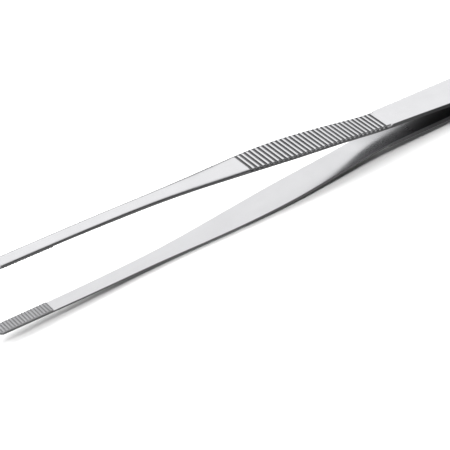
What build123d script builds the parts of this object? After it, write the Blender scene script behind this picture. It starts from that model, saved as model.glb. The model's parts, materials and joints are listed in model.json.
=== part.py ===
from build123d import *
import os
from math import asin, atan2, cos, degrees, hypot, radians, sin

# Long spring tweezers: two stainless steel arms, welded together at the heel.
# Millimetres and degrees. The arms are drawn about the mid-plane z = 0, with the jaw tips at
# x = 0 and the heel at x = overall_length, and are then laid down as they rest on a table.

# Overall
overall_length = 300.0
arm_spread = 30.0
weld_length = 17.5
flex_from_heel = 51.5

# Steel, thickening evenly from the tip to where it is full, ahead of the heel
tip_thickness = 1.2
heel_thickness = 2.1
full_from_heel = 64.0

# Side profile of one arm, measured from the tip or from an end of the grip
straight_tip = 15.0
shank_bow_before_grip = 28.0
shank_bow_share = 0.27
belly_before_grip_end = 15.0
leg_after_grip_end = 3.4
leg_slope = 0.0412
heel_bend_radius = 60.0

# Plan outline: the widths, what the widths between them add or take off, and where each one lies
tip_width = 5.5
tip_corner_radius = 2.2
shank_width = 6.1
neck_swell = 1.05
shoulder_fall = 2.75
grip_front_fall = 0.85
grip_width = 13.35
waist_width = 11.9
leg_swell = 1.9
flex_fall = 0.3
heel_width = 16.0
heel_corner_radius = 4.0
shank_before_bow = 34.0
neck_before_bow = 10.0
shoulder_before_grip = 10.0
front_after_grip = 8.0
widest_grip_share = 0.3
waist_before_grip_end = 10.0
swell_after_grip_end = 27.0

# Ribbed grip on each outer face
grip_from_tip = 113.5
groove_count = 31
groove_pitch = 2.4
groove_width = 1.4
groove_depth = 0.4
grip_end_land = 3.6
grip_recess = 0.15

# Raised jaw pad with cross teeth on each inner face
jaw_pad = 0.45
tooth_count = 17
tooth_pitch = 1.35
tooth_depth = 0.3
tooth_crest = 0.35
tooth_margin = 0.35

# Edges, weld and fits
shank_edge_radius = 0.5
weld_chamfer = 0.6
edge_margin = 1.0
flex_gap = 0.05
closed_tip_gap = 0.1
hold_from_heel = 8.0

grip_end = grip_from_tip + (groove_count - 1) * groove_pitch + grip_end_land
weld_start = overall_length - weld_length
flex_x = overall_length - flex_from_heel
full_x = overall_length - full_from_heel
hold_x = overall_length - hold_from_heel
heel_bend = heel_bend_radius * leg_slope / 2
bend_start = weld_start - heel_bend
bend_end = weld_start + heel_bend
leg_start = grip_end + leg_after_grip_end
belly_x = grip_end - belly_before_grip_end
bow_x = grip_from_tip - shank_bow_before_grip
jaw_length = tooth_count * tooth_pitch + tooth_margin
jaw_height = arm_spread / 2 - jaw_pad


def belly_slope():
    """Steepest slope of the arm, such that the inner faces meet where the weld starts."""
    fall_at_leg = leg_slope * (weld_start - leg_start + (leg_start - belly_x) / 2)
    reach = shank_bow_share * (belly_x - straight_tip) / 2
    reach = reach + (belly_x - bow_x) / 2 + (leg_start - belly_x) / 2
    return (arm_spread / 2 - fall_at_leg) / reach


def bend_stations():
    """Places where the arm's bend changes, each with the slope of the inner face there."""
    steep = belly_slope()
    return [
        (0.0, 0.0),
        (straight_tip, 0.0),
        (bow_x, shank_bow_share * steep),
        (belly_x, steep),
        (leg_start, leg_slope),
    ]


def half_gap(x):
    """Height of the inner face above the mid-plane at x, at rest."""
    height = arm_spread / 2
    stations = bend_stations()
    for (x0, slope0), (x1, slope1) in zip(stations, stations[1:]):
        run = min(max(x - x0, 0.0), x1 - x0)
        height = height - slope0 * run - (slope1 - slope0) * run**2 / (2 * (x1 - x0))
    return height - leg_slope * max(x - leg_start, 0.0)


def thickness(x):
    return tip_thickness + (heel_thickness - tip_thickness) * min(x / full_x, 1.0)


def recess(x):
    """Depth by which the grip lies below the leg's outer face, growing to the step at its end."""
    if x > grip_end:
        return 0.0
    return grip_recess * max(x - grip_from_tip, 0.0) / (grip_end - grip_from_tip)


def outer_height(x):
    return half_gap(x) + thickness(x) - recess(x)


def curve_stations():
    """The bend stations and the middles between them, up to the straight leg."""
    ends = [x for x, slope in bend_stations()]
    middles = [(a + b) / 2 for a, b in zip(ends, ends[1:])]
    return sorted(ends + middles)


def side_profile():
    """Side view of the upper arm as a face in the XZ plane."""
    inner = [(x, half_gap(x)) for x in [jaw_length] + curve_stations() if x >= jaw_length]
    front = [(x, outer_height(x)) for x in curve_stations() if x < grip_end]
    front.append((grip_end, outer_height(grip_end)))
    ledge = (grip_end, outer_height(grip_end) + grip_recess)
    middle = (grip_end + leg_start) / 2
    leg = (leg_start, outer_height(leg_start))
    full = (full_x, outer_height(full_x))
    bend = (bend_start, half_gap(bend_start) + heel_thickness)
    with BuildSketch(Plane.XZ) as side:
        with BuildLine():
            Polyline((0, jaw_height), (jaw_length, jaw_height), inner[0])
            Spline(*inner)
            Line(inner[-1], (bend_start, half_gap(bend_start)))
            TangentArc((bend_start, half_gap(bend_start)), (bend_end, 0), tangent=(1, -leg_slope))
            Line((bend_end, 0), (overall_length, 0))
            Line((overall_length, 0), (overall_length, heel_thickness))
            Line((overall_length, heel_thickness), (bend_end, heel_thickness))
            TangentArc((bend_end, heel_thickness), bend, tangent=(-1, 0))
            Polyline(bend, full, leg)
            Spline(leg, (middle, outer_height(middle)), ledge)
            Line(ledge, front[-1])
            Spline(*reversed(front))
            Line(front[0], (0, jaw_height))
        make_face()
    return side.sketch


def width_stations():
    """Full width of the arm along its length."""
    widest_x = grip_from_tip + groove_count * groove_pitch * widest_grip_share
    return [
        (tip_corner_radius, tip_width),
        (bow_x - shank_before_bow, shank_width),
        (bow_x - neck_before_bow, shank_width + neck_swell),
        (grip_from_tip - shoulder_before_grip, grip_width - shoulder_fall),
        (grip_from_tip + front_after_grip, grip_width - grip_front_fall),
        (widest_x, grip_width),
        (grip_end - waist_before_grip_end, waist_width),
        (grip_end + swell_after_grip_end, waist_width + leg_swell),
        (flex_x, heel_width - flex_fall),
        (overall_length - heel_corner_radius, heel_width),
    ]


def plan_outline():
    """Top view of the arm as a face in the XY plane, with round tip corners and heel corners."""
    near = [(x, -width / 2) for x, width in width_stations()]
    far = [(x, width / 2) for x, width in width_stations()]
    tip_flat = tip_width / 2 - tip_corner_radius
    heel_flat = heel_width / 2 - heel_corner_radius
    with BuildSketch() as plan:
        with BuildLine():
            Spline(*near, tangents=[(1, 0), (1, 0)])
            TangentArc(near[-1], (overall_length, -heel_flat), tangent=(1, 0))
            Line((overall_length, -heel_flat), (overall_length, heel_flat))
            TangentArc((overall_length, heel_flat), far[-1], tangent=(0, 1))
            Spline(*reversed(far), tangents=[(-1, 0), (-1, 0)])
            TangentArc(far[0], (0.0, tip_flat), tangent=(-1, 0))
            Line((0.0, tip_flat), (0.0, -tip_flat))
            TangentArc((0.0, -tip_flat), near[0], tangent=(0, -1))
        make_face()
    return plan.sketch


def blank():
    """The upper arm before its edges, ribs and teeth are cut."""
    strip = Pos(0, heel_width, 0) * extrude(side_profile(), amount=2 * heel_width)
    return strip & extrude(plan_outline(), amount=arm_spread)


def outward(x):
    """Plane on the outer face at x, with its z along the face's outward normal."""
    step = 0.5
    rise = outer_height(x + step) - outer_height(x - step)
    return Plane((x, 0, outer_height(x)), x_dir=(2 * step, 0, rise), z_dir=(-rise, 0, 2 * step))


def grip_grooves():
    """Round-bottomed cross grooves, one cutter for each."""
    radius = (groove_width**2 / 4 + groove_depth**2) / (2 * groove_depth)
    cutters = []
    for i in range(groove_count):
        x = grip_from_tip + i * groove_pitch
        bar = Cylinder(radius, grip_width * 2, rotation=(90, 0, 0))
        cutters.append(outward(x) * Pos(0, 0, radius - groove_depth) * bar)
    return cutters


def jaw_teeth(offset):
    """V-shaped cuts between the cross teeth, the first one offset pitches from the tip."""
    half_mouth = (tooth_pitch - tooth_crest) / 2
    with BuildSketch(Plane.XZ) as notch:
        Polygon((-half_mouth, 0), (half_mouth, 0), (0, tooth_depth), align=None)
    cutter = Pos(0, tip_width, 0) * extrude(notch.sketch, amount=2 * tip_width)
    return [Pos((i + offset) * tooth_pitch, 0, jaw_height) * cutter for i in range(tooth_count)]


def front_rim(arm):
    """Edges round the outer face, from the grip's end forward, without the step."""

    def is_rim(edge):
        points = [edge @ 0, edge @ 0.5, edge @ 1]
        on_skin = all(abs(p.Z - outer_height(p.X)) < tip_thickness / 4 for p in points)
        return on_skin and min(p.X for p in points) < grip_end - edge_margin

    return arm.edges().filter_by(is_rim)


def weld_rim(arm):
    """Edges round the flat inner face of the heel, without the one at the bend."""
    contact = arm.faces().filter_by(Plane.XY).sort_by(Axis.Z)[0]
    return contact.edges().filter_by(lambda edge: (edge @ 0.5).X > bend_end + edge_margin)


def span(start, end):
    """A block round the arm from start to end along its length."""
    size = end - start
    return Pos(start + size / 2, 0, 0) * Box(size, 2 * heel_width, 4 * arm_spread)


def upper_arm():
    """The blade in front of the flexing place and the leg behind it, in that order."""
    blade = blank() & span(-tip_width, flex_x - flex_gap)
    leg = blank() & span(flex_x, overall_length + heel_width)
    return fillet(front_rim(blade), shank_edge_radius), chamfer(weld_rim(leg), weld_chamfer)


def heel_weld(upper_leg, lower_leg):
    """The weld metal that fills the V round the two heels, flush with their sides."""
    slab = Pos(0, 0, -weld_chamfer) * extrude(plan_outline(), amount=2 * weld_chamfer)
    return (slab & span(bend_end, overall_length + heel_width)) - upper_leg - lower_leg


def rest_angle():
    """Tilt at which the tweezers lie on the lower arm's belly and on the heel's end."""
    places = range(int(weld_start))
    slopes = [(outer_height(x) - heel_thickness) / (overall_length - x) for x in places]
    return degrees(atan2(max(slopes), 1))


def closing_angle():
    """Turn of each blade that brings the tips together, apart from closed_tip_gap."""
    rise = jaw_height - half_gap(flex_x)
    reach = hypot(flex_x, rise)
    drop = half_gap(flex_x) - closed_tip_gap / 2
    return degrees(asin(drop / reach) + atan2(rise, flex_x))


def main():
    os.makedirs("parts", exist_ok=True)
    blade, leg = upper_arm()
    upper_blade = blade - grip_grooves() - jaw_teeth(0.5)
    lower_blade = mirror(blade - grip_grooves() - jaw_teeth(1.0), about=Plane.XY)
    lower_leg = mirror(leg, about=Plane.XY)
    nodes = {
        "upper_arm_blade": upper_blade,
        "upper_arm_spring": leg,
        "lower_arm_blade": lower_blade,
        "lower_arm_spring": lower_leg,
        "heel_weld": heel_weld(leg, lower_leg),
    }
    tilt = Rot(0, rest_angle(), 0)
    box = Compound([tilt * shape for shape in nodes.values()]).bounding_box()
    floor = -overall_length * sin(radians(rest_angle())) - heel_thickness * cos(radians(rest_angle()))
    place = Pos(-(box.min.X + box.max.X) / 2, 0, -floor) * tilt
    for name, shape in nodes.items():
        export_step(place * shape, f"parts/{name}.step")
    pivot = place * Pos(flex_x, 0, half_gap(flex_x))
    lower_pivot = place * Pos(flex_x, 0, -half_gap(flex_x))
    heel = place * Pos(hold_x, 0, heel_thickness)
    under = place * Pos(hold_x, 0, -heel_thickness)
    print("rest angle", round(rest_angle(), 4), "closing angle", round(closing_angle(), 4))
    print("pivots", pivot.position, lower_pivot.position)
    print("heel faces", heel.position, under.position)
    print("tip corner", (place * Pos(0, 0, 0)).position, "steepest slope", round(belly_slope(), 4))


main()
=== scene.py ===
import json
from math import cos, pi, radians, sin, sqrt

import bpy
import numpy as np
from mathutils import Matrix, Vector


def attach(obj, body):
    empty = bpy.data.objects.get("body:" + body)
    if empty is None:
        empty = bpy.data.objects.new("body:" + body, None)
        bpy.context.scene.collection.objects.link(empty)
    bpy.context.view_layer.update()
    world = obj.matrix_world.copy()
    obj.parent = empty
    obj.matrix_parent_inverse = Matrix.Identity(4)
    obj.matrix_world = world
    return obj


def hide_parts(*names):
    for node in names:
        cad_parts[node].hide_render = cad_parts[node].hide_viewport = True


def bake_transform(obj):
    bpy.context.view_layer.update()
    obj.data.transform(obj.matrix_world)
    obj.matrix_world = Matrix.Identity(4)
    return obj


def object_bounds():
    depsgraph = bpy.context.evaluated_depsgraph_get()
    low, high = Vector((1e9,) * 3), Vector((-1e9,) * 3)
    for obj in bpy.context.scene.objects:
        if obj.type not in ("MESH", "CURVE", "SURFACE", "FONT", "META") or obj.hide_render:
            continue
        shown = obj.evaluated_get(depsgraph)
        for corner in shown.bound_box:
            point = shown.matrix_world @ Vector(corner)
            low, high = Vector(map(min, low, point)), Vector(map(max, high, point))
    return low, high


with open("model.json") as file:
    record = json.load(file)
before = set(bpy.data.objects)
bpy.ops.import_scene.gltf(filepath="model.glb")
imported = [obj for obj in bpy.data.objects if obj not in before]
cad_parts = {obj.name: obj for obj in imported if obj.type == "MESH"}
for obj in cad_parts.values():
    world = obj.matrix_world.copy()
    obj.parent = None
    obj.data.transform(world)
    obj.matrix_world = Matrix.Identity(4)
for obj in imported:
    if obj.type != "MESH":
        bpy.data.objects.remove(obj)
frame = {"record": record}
cad_box = [list(corner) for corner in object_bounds()]

# Long spring tweezers: two ground stainless arms, ribbed outside at the grips, toothed inside at
# the jaws and welded together at the heel. Sizes are in millimetres. An arm is shaped about the
# mid-plane z = 0, with the jaw tips at x = 0 and the heel's end at x = overall_length.

MM = 0.001

overall_length = 300.0
arm_spread = 30.0
weld_length = 17.5
flex_from_heel = 51.5
tip_thickness = 1.2
heel_thickness = 2.1
full_from_heel = 64.0
straight_tip = 15.0
leg_slope = 0.0412
heel_bend_radius = 60.0
tip_width = 5.5
tip_corner_radius = 2.2
heel_width = 16.0
heel_corner_radius = 4.0
grip_from_tip = 113.5
groove_count = 31
groove_pitch = 2.4
groove_width = 1.4
groove_depth = 0.4
grip_recess = 0.15
step_ramp = 0.8
jaw_pad = 0.45
tooth_count = 17
tooth_pitch = 1.35
tooth_depth = 0.22
tooth_crest = 0.45
tooth_margin = 0.35
weld_chamfer = 0.6
hold_from_heel = 8.0

# Rounded rims inside: along the face, and down the side
jaw_rim = (0.28, 0.25)
inner_rim = (0.12, 0.12)

# The weld metal: where it starts, how far it stands proud, how deep it is rooted, its ripples
bead_start = 1.2
bead_crown = 0.02
bead_tuck = 0.01
bead_root = 0.75
ripple_height = 0.012
ripple_pitch = 1.1
ripple_bow = 0.35

# Steps of the weld's skin along the sides, round the corners, and along the heel's end
bead_side_step = 0.15
bead_side_most = 200
bead_corner_steps = 25
bead_end_step = 0.2
bead_rows = 9
bead_map_cell = 0.2

grip_end = grip_from_tip + (groove_count - 1) * groove_pitch + 3.6
weld_start = overall_length - weld_length
flex_x = overall_length - flex_from_heel
full_x = overall_length - full_from_heel
heel_bend = heel_bend_radius * leg_slope / 2
bend_start = weld_start - heel_bend
bend_end = weld_start + heel_bend
chamfer_start = bend_end + 1.0
leg_start = grip_end + 3.4
belly_x = grip_end - 15.0
bow_x = grip_from_tip - 28.0
bow_share = 0.27
jaw_length = tooth_count * tooth_pitch + tooth_margin
jaw_height = arm_spread / 2 - jaw_pad
# The stretch over which the inner faces and sides fade to a dark grey towards the heel: painted
# shade, with a duller roughness
dull_and_shade_start = belly_x + 2.0
dull_and_shade_end = leg_start + 22.0

steepest = (
    arm_spread / 2 - leg_slope * (weld_start - leg_start + (leg_start - belly_x) / 2)
) / (bow_share * (belly_x - straight_tip) / 2 + (belly_x - bow_x) / 2 + (leg_start - belly_x) / 2)
bends = [
    (0.0, 0.0),
    (straight_tip, 0.0),
    (bow_x, bow_share * steepest),
    (belly_x, steepest),
    (leg_start, leg_slope),
]

# Full widths along the arm
widths = [
    (tip_corner_radius, tip_width),
    (bow_x - 34, 6.1),
    (bow_x - 10, 7.15),
    (grip_from_tip - 10, 10.6),
    (grip_from_tip + 8, 12.5),
    (grip_from_tip + groove_count * groove_pitch * 0.3, 13.35),
    (grip_end - 10, 11.9),
    (grip_end + 27, 13.8),
    (flex_x, 15.7),
    (overall_length - heel_corner_radius, heel_width),
]

# How far the outer face rounds over towards its rim: along the face, and down the side. The
# reach is held to a share of the half width, plus a little so that the very tip has some too.
crown_share = 0.95
crown_least = 0.05
crowns = [
    (0.0, 2.7, 0.64),
    (22.0, 2.5, 0.66),
    (40.0, 2.0, 0.72),
    (57.0, 1.8, 0.78),
    (75.0, 2.6, 0.9),
    (93.0, 4.2, 1.2),
    (103.0, 3.8, 1.15),
    (111.0, 2.4, 1.0),
    (120.0, 1.1, 0.8),
    (135.0, 0.8, 0.65),
    (grip_end - 20.0, 0.85, 0.7),
    (grip_end - step_ramp, 1.25, 1.0),
    (grip_end, 0.14, 0.12),
    (overall_length, 0.14, 0.12),
]


def clamped_spline(points):
    """Second derivatives of the cubic through the points, flat at both ends."""
    x = np.array([p[0] for p in points])
    y = np.array([p[1] for p in points])
    h = np.diff(x)
    slope = np.diff(y) / h
    size = len(points)
    left = np.zeros((size, size))
    right = np.zeros(size)
    left[0, :2] = 2 * h[0], h[0]
    right[0] = 6 * slope[0]
    left[-1, -2:] = h[-1], 2 * h[-1]
    right[-1] = -6 * slope[-1]
    for i in range(1, size - 1):
        left[i, i - 1 : i + 2] = h[i - 1], 2 * (h[i - 1] + h[i]), h[i]
        right[i] = 6 * (slope[i] - slope[i - 1])
    return x, y, np.linalg.solve(left, right)


width_x, width_y, width_bend = clamped_spline(widths)


def half_width(x):
    """Half the arm's width at x, with its round corners at both ends."""
    if x < tip_corner_radius:
        reach = tip_corner_radius - x
        flat = tip_width / 2 - tip_corner_radius
        return flat + sqrt(max(tip_corner_radius**2 - reach**2, 0))
    if x > overall_length - heel_corner_radius:
        reach = x - (overall_length - heel_corner_radius)
        flat = heel_width / 2 - heel_corner_radius
        return flat + sqrt(max(heel_corner_radius**2 - reach**2, 0))
    i = min(int(np.searchsorted(width_x, x, side="right")) - 1, len(width_x) - 2)
    h = width_x[i + 1] - width_x[i]
    a = (width_x[i + 1] - x) / h
    b = 1 - a
    bow = ((a**3 - a) * width_bend[i] + (b**3 - b) * width_bend[i + 1]) * h * h / 6
    return float(a * width_y[i] + b * width_y[i + 1] + bow) / 2


def inset(x, y):
    """Distance of a point on the arm from its rim, in plan."""
    across = half_width(x) - abs(y)
    for radius, full, reach in (
        (tip_corner_radius, tip_width, x),
        (heel_corner_radius, heel_width, overall_length - x),
    ):
        if reach < radius:
            beyond = abs(y) - (full / 2 - radius)
            if beyond <= 0:
                return reach
            corner = radius - sqrt(beyond**2 + (radius - reach) ** 2)
            return max(min(corner, reach), 0.0)
        if reach < 3 * radius:
            across = min(across, reach)
    return max(across, 0.0)


def half_gap(x):
    """Height of the inner face above the mid-plane, up to the heel's bend."""
    height = arm_spread / 2
    for (x0, slope0), (x1, slope1) in zip(bends, bends[1:]):
        run = min(max(x - x0, 0.0), x1 - x0)
        height -= slope0 * run + (slope1 - slope0) * run**2 / (2 * (x1 - x0))
    return height - leg_slope * max(x - leg_start, 0.0)


def centre_line(x):
    """The same, with the bend into the flat heel."""
    if x >= bend_end:
        return 0.0
    if x > bend_start:
        return (bend_end - x) ** 2 / (2 * heel_bend_radius)
    return half_gap(x)


def thickness(x):
    return tip_thickness + (heel_thickness - tip_thickness) * min(x / full_x, 1.0)


def recess(x):
    """Depth of the grip below the leg's outer face, with a short ramp up to the leg."""
    depth = grip_recess * max(x - grip_from_tip, 0.0) / (grip_end - grip_from_tip)
    return min(depth, max(grip_recess * (grip_end - x) / step_ramp, 0.0))


def rounded(distance, along, down):
    """Drop of a rounded rim at a distance from it."""
    if distance >= along:
        return 0.0
    return down * (1 - sqrt(max(1 - (1 - distance / along) ** 2, 0.0)))


def groove(x):
    """Depth of the round-bottomed groove at x."""
    radius = (groove_width**2 / 4 + groove_depth**2) / (2 * groove_depth)
    nearest = min(max(round((x - grip_from_tip) / groove_pitch), 0), groove_count - 1)
    off = x - grip_from_tip - nearest * groove_pitch
    if abs(off) >= groove_width / 2:
        return 0.0
    return sqrt(radius**2 - off**2) - (radius - groove_depth)


def outer_skin(x, y):
    """Height of the outer face, with its crown, its rim and the grip's grooves."""
    places, reaches, drops = zip(*crowns)
    along = min(float(np.interp(x, places, reaches)), half_width(x) * crown_share + crown_least)
    down = float(np.interp(x, places, drops))
    face = centre_line(x) + thickness(x) - recess(x)
    return min(face - rounded(inset(x, y), along, down), face - groove(x))


def tooth_cut(x, offset):
    """Depth of the cut between two cross teeth at x."""
    half_mouth = (tooth_pitch - tooth_crest) / 2
    nearest = min(max(round(x / tooth_pitch - offset), 0), tooth_count - 1)
    off = abs(x - (nearest + offset) * tooth_pitch)
    return max(tooth_depth * (1 - off / half_mouth), 0.0)


def inner_skin(x, y, offset):
    """Height of the inner face, with the raised jaw pad, its teeth and a broken rim."""
    if x <= jaw_length:
        return jaw_height + tooth_cut(x, offset) + rounded(inset(x, y), *jaw_rim)
    rim = rounded(inset(x, y), *inner_rim)
    if x > chamfer_start:
        rim = max(rim, weld_chamfer - inset(x, y))
    return centre_line(x) + rim


# Distances between the rings of the skin, in the stretches that each name says
shank_step = 1.2
fine_step = 0.5
leg_step = 1.4
heel_step = 0.8
least_step = 0.012
rim_places = [0.0, 0.015, 0.05, 0.1, 0.18, 0.28, 0.4, 0.6, 0.85, 1.15, 1.5, 1.85, 2.2]
heel_places = rim_places + [2.7, 3.3, heel_corner_radius]
bowl_places = (-1, -0.9, -0.7, -0.37, 0, 0.37, 0.7, 0.9, 1)
ramp_places = (1.15, 1, 0.75, 0.5, 0.25, 0, -0.15)
rib_edge = 0.8


def arm_stations(offset):
    """Places of the rings along the arm, close together where its shape turns quickly."""
    places = rim_places + [overall_length - r for r in heel_places]
    half_mouth = (tooth_pitch - tooth_crest) / 2
    for i in range(tooth_count):
        middle = (i + offset) * tooth_pitch
        places += [middle + half_mouth * s for s in (-1, -0.5, 0, 0.5, 1)]
        places.append(middle + tooth_pitch / 2)
    places = [x for x in places if x < jaw_length or x > weld_start]
    places += [jaw_length, jaw_length + 0.12, jaw_length + 0.5]
    places += list(np.arange(jaw_length + shank_step, grip_from_tip - 1.0, shank_step))
    for i in range(groove_count):
        middle = grip_from_tip + i * groove_pitch
        places += [middle + groove_width / 2 * s for s in bowl_places]
        places += [middle + rib_edge, middle + groove_pitch / 2, middle + groove_pitch - rib_edge]
    places.append(grip_from_tip - rib_edge)
    after = grip_from_tip + groove_count * groove_pitch
    places += list(np.arange(after, grip_end - step_ramp - 0.2, fine_step))
    places += [grip_end - step_ramp * s for s in ramp_places]
    places += list(np.arange(grip_end + fine_step, leg_start, fine_step))
    places += list(np.arange(leg_start + fine_step, bend_start, leg_step))
    places += list(np.linspace(bend_start, bend_end, 7))
    places += [chamfer_start, bend_end + 1.02]
    places += list(np.arange(bend_end + 1.6, overall_length - 4.1, heel_step))
    kept = []
    for x in sorted(places):
        if not kept or x - kept[-1] > least_step:
            kept.append(float(x))
    return kept


# Where the arm frame lies: the record's mount on the heel's upper face fixes it
mount = next(m for m in frame["record"]["mounts"] if m["name"] == "heel_top_face")
heel_face = Vector(mount["pos_m"])
upward = Vector(mount["axis"]).normalized()
lengthwise = Vector((upward.z, 0, -upward.x))
sideways = Vector((0, 1, 0))


def place(x, y, z):
    """A point of the arm frame, in the row frame and in metres."""
    along = x - (overall_length - hold_from_heel)
    return (
        heel_face
        + lengthwise * (along * MM)
        + sideways * (y * MM)
        + upward * ((z - heel_thickness) * MM)
    )


across_count = 33
side_count = 3
arm_crease = 32
bead_crease = 40
least_cut = 0.01
OUTER, INNER, EDGE, CUT, TOOTH = range(5)


def arm(name, side, offset, finishes):
    """One arm as a closed skin of quads: side is 1 for the upper arm and -1 for the lower."""
    stations = arm_stations(offset)
    spread = [sin(pi / 2 * (2 * j / (across_count - 1) - 1)) for j in range(across_count)]
    points, faces, kinds, strips = [], [], [], []
    ring_size = 2 * across_count + 2 * side_count

    def add(x, y, z):
        points.append(place(x, y, side * z))
        return len(points) - 1

    def sides(x, y, top, low):
        steps = [(k + 1) / (side_count + 1) for k in range(side_count)]
        return [add(x, y, top + (low - top) * s) for s in steps]

    rings = []
    for x in stations:
        half = half_width(x)
        tops = [outer_skin(x, half * s) for s in spread]
        lows = [inner_skin(x, half * s, offset) for s in spread]
        ring = [add(x, half * s, z) for s, z in zip(spread, tops)]
        ring += sides(x, half, tops[-1], lows[-1])
        ring += [add(x, half * s, z) for s, z in reversed(list(zip(spread, lows)))]
        ring += reversed(sides(x, -half, tops[0], lows[0]))
        down = [thickness(x) * (k + 1) / (side_count + 1) for k in range(side_count)]
        girth = [half * s for s in spread] + [half + d for d in down]
        girth += [2 * half + thickness(x) - half * s for s in reversed(spread)]
        girth += [3 * half + thickness(x) + d for d in down + [thickness(x)]]
        rings.append((x, ring, girth))

    def face(corners, kind, marks):
        if side < 0:
            corners, marks = corners[::-1], marks[::-1]
        faces.append(corners)
        kinds.append(kind)
        strips.extend(marks)

    grooved = grip_from_tip + (groove_count - 1) * groove_pitch
    for (x0, ring0, girth0), (x1, ring1, girth1) in zip(rings, rings[1:]):
        middle = (x0 + x1) / 2
        for k in range(ring_size):
            n = (k + 1) % ring_size
            if k < across_count - 1:
                cut = groove(middle) > least_cut and grip_from_tip - 1 < middle < grooved + 1
                kind = CUT if cut else OUTER
            elif across_count + side_count <= k < 2 * across_count + side_count - 1:
                kind = TOOTH if middle < jaw_length else INNER
            else:
                kind = EDGE
            marks = [(x0, girth0[k]), (x1, girth1[k]), (x1, girth1[k + 1]), (x0, girth0[k + 1])]
            face([ring0[k], ring1[k], ring1[n], ring0[n]], kind, marks)

    for (x, ring, girth), turn in ((rings[0], 1), (rings[-1], -1)):
        top = ring[:across_count]
        far = ring[across_count : across_count + side_count]
        low = ring[across_count + side_count : 2 * across_count + side_count][::-1]
        near = ring[2 * across_count + side_count :][::-1]
        rows = [top]
        for r in range(side_count):
            share = (r + 1) / (side_count + 1)
            row = [near[r]]
            for j in range(1, across_count - 1):
                points.append(points[top[j]].lerp(points[low[j]], share))
                row.append(len(points) - 1)
            rows.append(row + [far[r]])
        rows.append(low)
        for r, (upper, lower) in enumerate(zip(rows, rows[1:])):
            for j in range(across_count - 1):
                corners = [upper[j], upper[j + 1], lower[j + 1], lower[j]]
                level = [x + thickness(x) * k / (side_count + 1) for k in (r, r + 1)]
                marks = [(level[0], girth[j]), (level[0], girth[j + 1])]
                marks += [(level[1], girth[j + 1]), (level[1], girth[j])]
                if turn < 0:
                    corners, marks = corners[::-1], marks[::-1]
                face(corners, EDGE, marks)

    return solid(name, points, faces, strips, kinds, finishes, arm_crease)


def solid(name, points, faces, strips, kinds, finishes, crease):
    """A mesh object with its finishes, its lengthwise strip map in mm and crisp creases."""
    mesh = bpy.data.meshes.new(name)
    mesh.from_pydata([tuple(p) for p in points], [], faces)
    strip = mesh.uv_layers.new(name="strip")
    strip.data.foreach_set("uv", np.array(strips, np.float32).ravel())
    for finish in finishes:
        mesh.materials.append(finish)
    mesh.polygons.foreach_set("material_index", kinds)
    mesh.shade_smooth()
    mesh.set_sharp_from_angle(angle=radians(crease))
    mesh.update()
    made = bpy.data.objects.new(name, mesh)
    bpy.context.scene.collection.objects.link(made)
    return made


def linear(code):
    """The linear colour of an sRGB hex value."""
    parts = [int(code[i : i + 2], 16) / 255 for i in (1, 3, 5)]
    return [p / 12.92 if p <= 0.04045 else ((p + 0.055) / 1.055) ** 2.4 for p in parts] + [1.0]


def add_node(tree, kind, inputs=None, **settings):
    """Adds a node: an input given a socket is linked to it, and any other is set."""
    made = tree.nodes.new(kind)
    for name, value in settings.items():
        setattr(made, name, value)
    for name, value in (inputs or {}).items():
        if isinstance(value, bpy.types.NodeSocket):
            tree.links.new(value, made.inputs[name])
        else:
            made.inputs[name].default_value = value
    return made


def new_material(name):
    material = bpy.data.materials.new(name)
    material.use_nodes = True
    material.node_tree.nodes.clear()
    return material, material.node_tree


# How the two noises of the steel are used: the size of the soft patches, the share of the fine
# lines in the tone, and the parts of the noises' range that show
patch_mm = (14.0, 9.0)
line_share = 0.35
tone_span = (0.35, 0.65)
rough_span = (0.3, 0.7)


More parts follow.
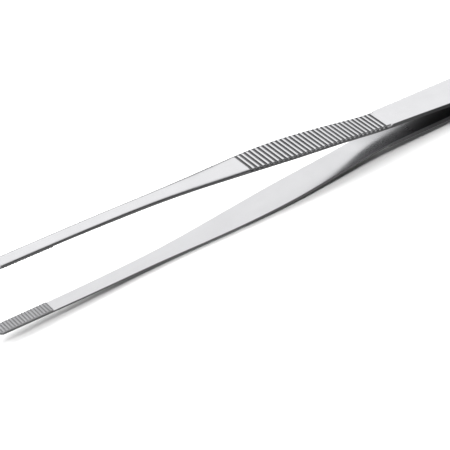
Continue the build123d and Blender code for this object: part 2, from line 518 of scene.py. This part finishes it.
def steel(name, pale, dark, rough, line_mm, run_mm, relief_mm, dull_and_painted_shade=None):
    """Stainless steel with fine lines of a given spacing and length, a little uneven in tone.

    The last argument, if given, is the colour and roughness that it takes between the legs,
    towards
    the heel: the roughness is a duller finish, and the colour is painted shade, a dark grey for
    the shade and dark reflections there."""
    material, tree = new_material(name)
    where = add_node(tree, "ShaderNodeUVMap", uv_map="strip").outputs["UV"]
    noises = []
    for length, width, detail in ((run_mm, line_mm, 3.0), (*patch_mm, 2.0)):
        scaled = {"Vector": where, "Scale": (1 / length, 1 / width, 1)}
        at = add_node(tree, "ShaderNodeMapping", scaled).outputs[0]
        grain = {"Vector": at, "Scale": 1.0, "Detail": detail, "Roughness": 0.6}
        noises.append(add_node(tree, "ShaderNodeTexNoise", grain).outputs["Fac"])
    lines, cloud = noises
    mixed = {0: line_share, 2: cloud, 3: lines}
    tone = add_node(tree, "ShaderNodeMix", mixed, data_type="FLOAT").outputs[0]
    spread = {"Value": tone, "From Min": tone_span[0], "From Max": tone_span[1]}
    share = add_node(tree, "ShaderNodeMapRange", spread).outputs[0]
    mixed = {0: share, 6: linear(dark), 7: linear(pale)}
    shade = add_node(tree, "ShaderNodeMix", mixed, data_type="RGBA").outputs[2]
    spread = {"Value": lines, "From Min": rough_span[0], "From Max": rough_span[1]}
    spread.update({"To Min": rough[0], "To Max": rough[1]})
    roughness = add_node(tree, "ShaderNodeMapRange", spread).outputs[0]
    # Towards the heel the colour fades to a dark grey, which is painted shade, and the roughness
    # fades to a duller finish
    if dull_and_painted_shade:
        along = add_node(tree, "ShaderNodeSeparateXYZ", {"Vector": where}).outputs["X"]
        spread = {"Value": along, "From Min": dull_and_shade_start, "From Max": dull_and_shade_end}
        reach = add_node(tree, "ShaderNodeMapRange", spread).outputs[0]
        mixed = {0: reach, 6: shade, 7: linear(dull_and_painted_shade[0])}
        shade = add_node(tree, "ShaderNodeMix", mixed, data_type="RGBA").outputs[2]
        mixed = {0: reach, 2: roughness, 3: dull_and_painted_shade[1]}
        roughness = add_node(tree, "ShaderNodeMix", mixed, data_type="FLOAT").outputs[0]
    bump = add_node(
        tree, "ShaderNodeBump", {"Height": lines, "Distance": relief_mm * MM, "Strength": 1.0}
    )
    shader = add_node(
        tree,
        "ShaderNodeBsdfPrincipled",
        {
            "Base Color": shade,
            "Metallic": 1.0,
            "Roughness": roughness,
            "Normal": bump.outputs[0],
        },
    )
    add_node(tree, "ShaderNodeOutputMaterial", {"Surface": shader.outputs[0]})
    return material


# The broad outer faces: an even pale grey with the faintest lines along the arm, a little
# paler and darker in soft patches where the belt pressed unevenly. Real belt lines are under
# 0.1 mm apart; these are drawn 0.3 mm apart, as fine as can still be seen close up.
satin = steel(
    "satin_ground_stainless_steel", "#DFDFE1", "#D9D9DB", (0.2, 0.28), 0.3, 9.0, 0.0008
)
# The inner faces: smoother and brighter near the jaws, and between the legs rougher and painted a
# dark grey, painted shade for the shade and dark reflections that fall there. Real polishing
# lines are too fine to see at all; these are drawn 0.4 mm apart and very low, to keep the faces
# from looking like glass.
bright = steel(
    "polished_stainless_steel",
    "#D5D5D7",
    "#D0D0D2",
    (0.15, 0.2),
    0.4,
    20.0,
    0.0004,
    # Between the legs: painted shade, a dark grey, with a duller roughness
    dull_and_painted_shade=("#6A6A6C", 0.32),
)
# The narrow sides: ground across a coarser belt, so rougher and with shorter lines than the
# faces, and painted greyer than the faces as painted shade for the sides' dark reflections.
# Towards the heel they are painted darker still, painted shade for the shadowed table that they
# face there. The real lines are about 0.1 mm apart; these are drawn 0.25 mm apart so that they
# show.
edge = steel(
    "belt_ground_stainless_edge",
    "#C0C0C2",
    "#B0B0B2",
    (0.3, 0.4),
    0.25,
    4.0,
    0.0015,
    # Towards the heel: painted shade, a darker grey, with a duller roughness
    dull_and_painted_shade=("#6E6E70", 0.4),
)
# The grooves of the grips: a cutter's rougher floor between the bright ribs, painted a darker
# grey as painted shade in the grooves. Real cutter marks are under 0.1 mm; these are drawn as 0.5
# mm patches so that they show.
milled = steel(
    "milled_stainless_grooves", "#7C7C7E", "#6A6A6C", (0.3, 0.38), 0.5, 0.5, 0.0015
)
# The jaw teeth: an even matt grey, with no clear reflection on their small slopes. Their grain,
# well under 0.1 mm on real teeth, is drawn 0.4 mm wide so that it shows.
matt = steel("matt_milled_stainless_teeth", "#CCCCCE", "#BABABC", (0.42, 0.5), 0.4, 0.4, 0.002)
finishes = [satin, bright, edge, milled, matt]

upper = arm("upper_arm_strip", 1, 0.5, finishes)
lower = arm("lower_arm_strip", -1, 1.0, finishes)


def weld_bead(metal):
    """The weld metal round the heel, with faint crescent ripples, dressed flush."""
    side_x = [bend_end + bead_start + bead_side_step * k for k in range(bead_side_most)]
    radius = heel_corner_radius
    corner_x = overall_length - radius
    flat = heel_width / 2 - radius
    turns = [pi / 2 * k / bead_corner_steps for k in range(1, bead_corner_steps)]
    path = [(x, -half_width(x), 0, -1) for x in side_x if x < corner_x]
    for a in turns:
        path.append((corner_x + radius * sin(a), -flat - radius * cos(a), sin(a), -cos(a)))
    end_y = np.arange(-flat, flat + 0.01, bead_end_step)
    path += [(overall_length, y, 1, 0) for y in end_y]
    for a in turns:
        path.append((corner_x + radius * cos(a), flat + radius * sin(a), cos(a), sin(a)))
    path += [(x, half_width(x), 0, 1) for x in reversed(side_x) if x < corner_x]
    points, faces, strips = [], [], []
    walked = 0.0
    before = path[0]
    for x, y, out_x, out_y in path:
        walked += sqrt((x - before[0]) ** 2 + (y - before[1]) ** 2)
        before = (x, y)
        for k in range(bead_rows):
            s = 2 * k / (bead_rows - 1) - 1
            ripple = ripple_height * cos(2 * pi * (walked / ripple_pitch + ripple_bow * s * s))
            proud = (bead_crown + ripple) * (1 - s * s) - bead_tuck
            points.append(place(x + out_x * proud, y + out_y * proud, weld_chamfer * s))
        points.append(place(x - out_x * bead_root, y - out_y * bead_root, 0.0))
    size = bead_rows + 1
    cell = bead_map_cell
    for i in range(len(path) - 1):
        for k in range(size):
            n = (k + 1) % size
            a, b = i * size, (i + 1) * size
            faces.append([a + k, b + k, b + n, a + n])
            strips += [(i * cell, k * cell), (i * cell + cell, k * cell)]
            strips += [(i * cell + cell, k * cell + cell), (i * cell, k * cell + cell)]
    last = (len(path) - 1) * size
    faces.append(list(range(size)))
    faces.append([last + k for k in reversed(range(size))])
    strips += [(0.0, 0.0)] * (2 * size)
    kinds = [0] * len(faces)
    return solid("heel_weld_bead", points, faces, strips, kinds, [metal], bead_crease)


# The dressed weld: slightly warmer, darker and more uneven than the steel beside it, in patches
# about as wide as the ripples of the weld
weld_metal = steel(
    "dressed_stainless_weld_metal", "#B9B6B1", "#9C9893", (0.28, 0.42), 1.2, 0.5, 0.004
)
bead = weld_bead(weld_metal)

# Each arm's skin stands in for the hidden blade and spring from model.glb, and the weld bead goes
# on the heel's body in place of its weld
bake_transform(upper)
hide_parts("upper_arm_blade", "upper_arm_spring")
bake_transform(lower)
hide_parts("lower_arm_blade", "lower_arm_spring")
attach(bead, "heel")
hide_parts("heel_weld")

# A plain white table, in metres. It is kept out of the steel's reflections, which show the dark
# lower half of the studio there. Its near side ends sooner, where the ceiling's light has faded
# to the tone of the backdrop.
table_reach = 3.0
table_near_reach = 0.6
floor_mesh = bpy.data.meshes.new("table_top")
near, far = -table_near_reach, table_reach
corners = [(-table_reach, near), (table_reach, near), (table_reach, far), (-table_reach, far)]
ground = cad_box[0][2]
floor_mesh.from_pydata([(x, y, ground) for x, y in corners], [], [(0, 1, 2, 3)])
floor = bpy.data.objects.new("table_top", floor_mesh)
bpy.context.scene.collection.objects.link(floor)
# Matt white paper: an even pale ground that takes soft shadows and has no shine
paper, paper_tree = new_material("matt_white_paper")
sheet_shader = add_node(
    paper_tree, "ShaderNodeBsdfDiffuse", {"Color": linear("#E6E6E6"), "Roughness": 0.0}
)
add_node(paper_tree, "ShaderNodeOutputMaterial", {"Surface": sheet_shader.outputs[0]})
floor_mesh.materials.append(paper)
floor.visible_glossy = False

# The studio: soft round panels on dark walls, seen only in the steel. The main panel lies behind
# and above the tweezers, and the others give the near side, the back, both ends and the top
# something to mirror. The table is lit by the lamp below, and the eye sees a plain pale backdrop.
# Each row has the direction of a panel, its half-angle and soft edge in degrees, and its glow.
panels = (
    ((0.483, 0.60, 0.638), 31, 7, 1.12),
    ((-0.6, -0.65, 0.4), 44, 12, 1.0),
    ((0.1, 0.98, 0.05), 22, 12, 0.35),
    ((0.9, -0.42, 0.15), 26, 10, 0.45),
    ((-0.85, 0.4, 0.4), 34, 12, 0.45),
    ((0, 0, 1), 15, 7, 0.9),
)
wall_span = 0.15
wall_glow = (0.2, 0.045)
backdrop_glow = 0.95
studio = bpy.data.worlds.new("studio")
bpy.context.scene.world = studio
studio.cycles_visibility.diffuse = False
studio.use_nodes = True
sky = studio.node_tree
sky.nodes.clear()
direction = add_node(sky, "ShaderNodeTexCoord").outputs["Generated"]
height = add_node(sky, "ShaderNodeSeparateXYZ", {"Vector": direction}).outputs["Z"]
fade = {"Value": height, "From Min": -wall_span, "From Max": wall_span}
fade.update({"To Min": wall_glow[0], "To Max": wall_glow[1]})
studio_light = add_node(sky, "ShaderNodeMapRange", fade).outputs[0]
for aim, half_angle, soft, glow in panels:
    pointing = {0: direction, 1: Vector(aim).normalized()}
    aimed = add_node(sky, "ShaderNodeVectorMath", pointing, operation="DOT_PRODUCT")
    fade = {"Value": aimed.outputs["Value"], "To Max": glow}
    fade["From Min"] = cos(radians(half_angle + soft))
    fade["From Max"] = cos(radians(half_angle - soft))
    lit = add_node(sky, "ShaderNodeMapRange", fade, interpolation_type="SMOOTHSTEP")
    both = {0: studio_light, 1: lit.outputs[0]}
    studio_light = add_node(sky, "ShaderNodeMath", both, operation="ADD").outputs[0]
seen = add_node(sky, "ShaderNodeLightPath").outputs["Is Camera Ray"]
mixed = {0: seen, 2: studio_light, 3: backdrop_glow}
strength = add_node(sky, "ShaderNodeMix", mixed, data_type="FLOAT").outputs[0]
shown = add_node(sky, "ShaderNodeBackground", {"Color": (1, 1, 1, 1), "Strength": strength})
add_node(sky, "ShaderNodeOutputWorld", {"Surface": shown.outputs[0]})

# A low glowing ceiling, from right above the tweezers to far behind them. It throws the soft
# shadows on their near side and isn't mirrored in the steel. It is placed from their middle.
middle = (Vector(cad_box[0]) + Vector(cad_box[1])) / 2
ceiling_offset = Vector((0.0, 1.55, 0.8))
ceiling = bpy.data.lights.new("glowing_ceiling", "AREA")
ceiling.shape = "RECTANGLE"
ceiling.size = 5.0
ceiling.size_y = 3.7
ceiling.energy = 216
glowing_ceiling = bpy.data.objects.new("glowing_ceiling", ceiling)
glowing_ceiling.location = middle + ceiling_offset
glowing_ceiling.visible_glossy = False
bpy.context.scene.collection.objects.link(glowing_ceiling)

# The camera, off the jaws' end on the near side, looking down along the arms
camera_place = Vector((-0.356965, -0.388951, 0.414488))
azimuth, elevation, roll = radians(38.821), radians(39.677), radians(0.049)
level = Vector((cos(azimuth), -sin(azimuth), 0))
ahead = Vector((sin(azimuth) * cos(elevation), cos(azimuth) * cos(elevation), -sin(elevation)))
upright = level.cross(ahead)
right = level * cos(roll) + upright * sin(roll)
top = upright * cos(roll) - level * sin(roll)
lens = bpy.data.cameras.new("camera")
lens.sensor_width = 36
lens.lens = 131.51
camera = bpy.data.objects.new("camera", lens)
turn = Matrix((right, top, -ahead)).transposed()
camera.matrix_world = Matrix.Translation(camera_place) @ turn.to_4x4()
bpy.context.scene.collection.objects.link(camera)
bpy.context.scene.camera = camera
bpy.context.scene.view_settings.view_transform = "Standard"
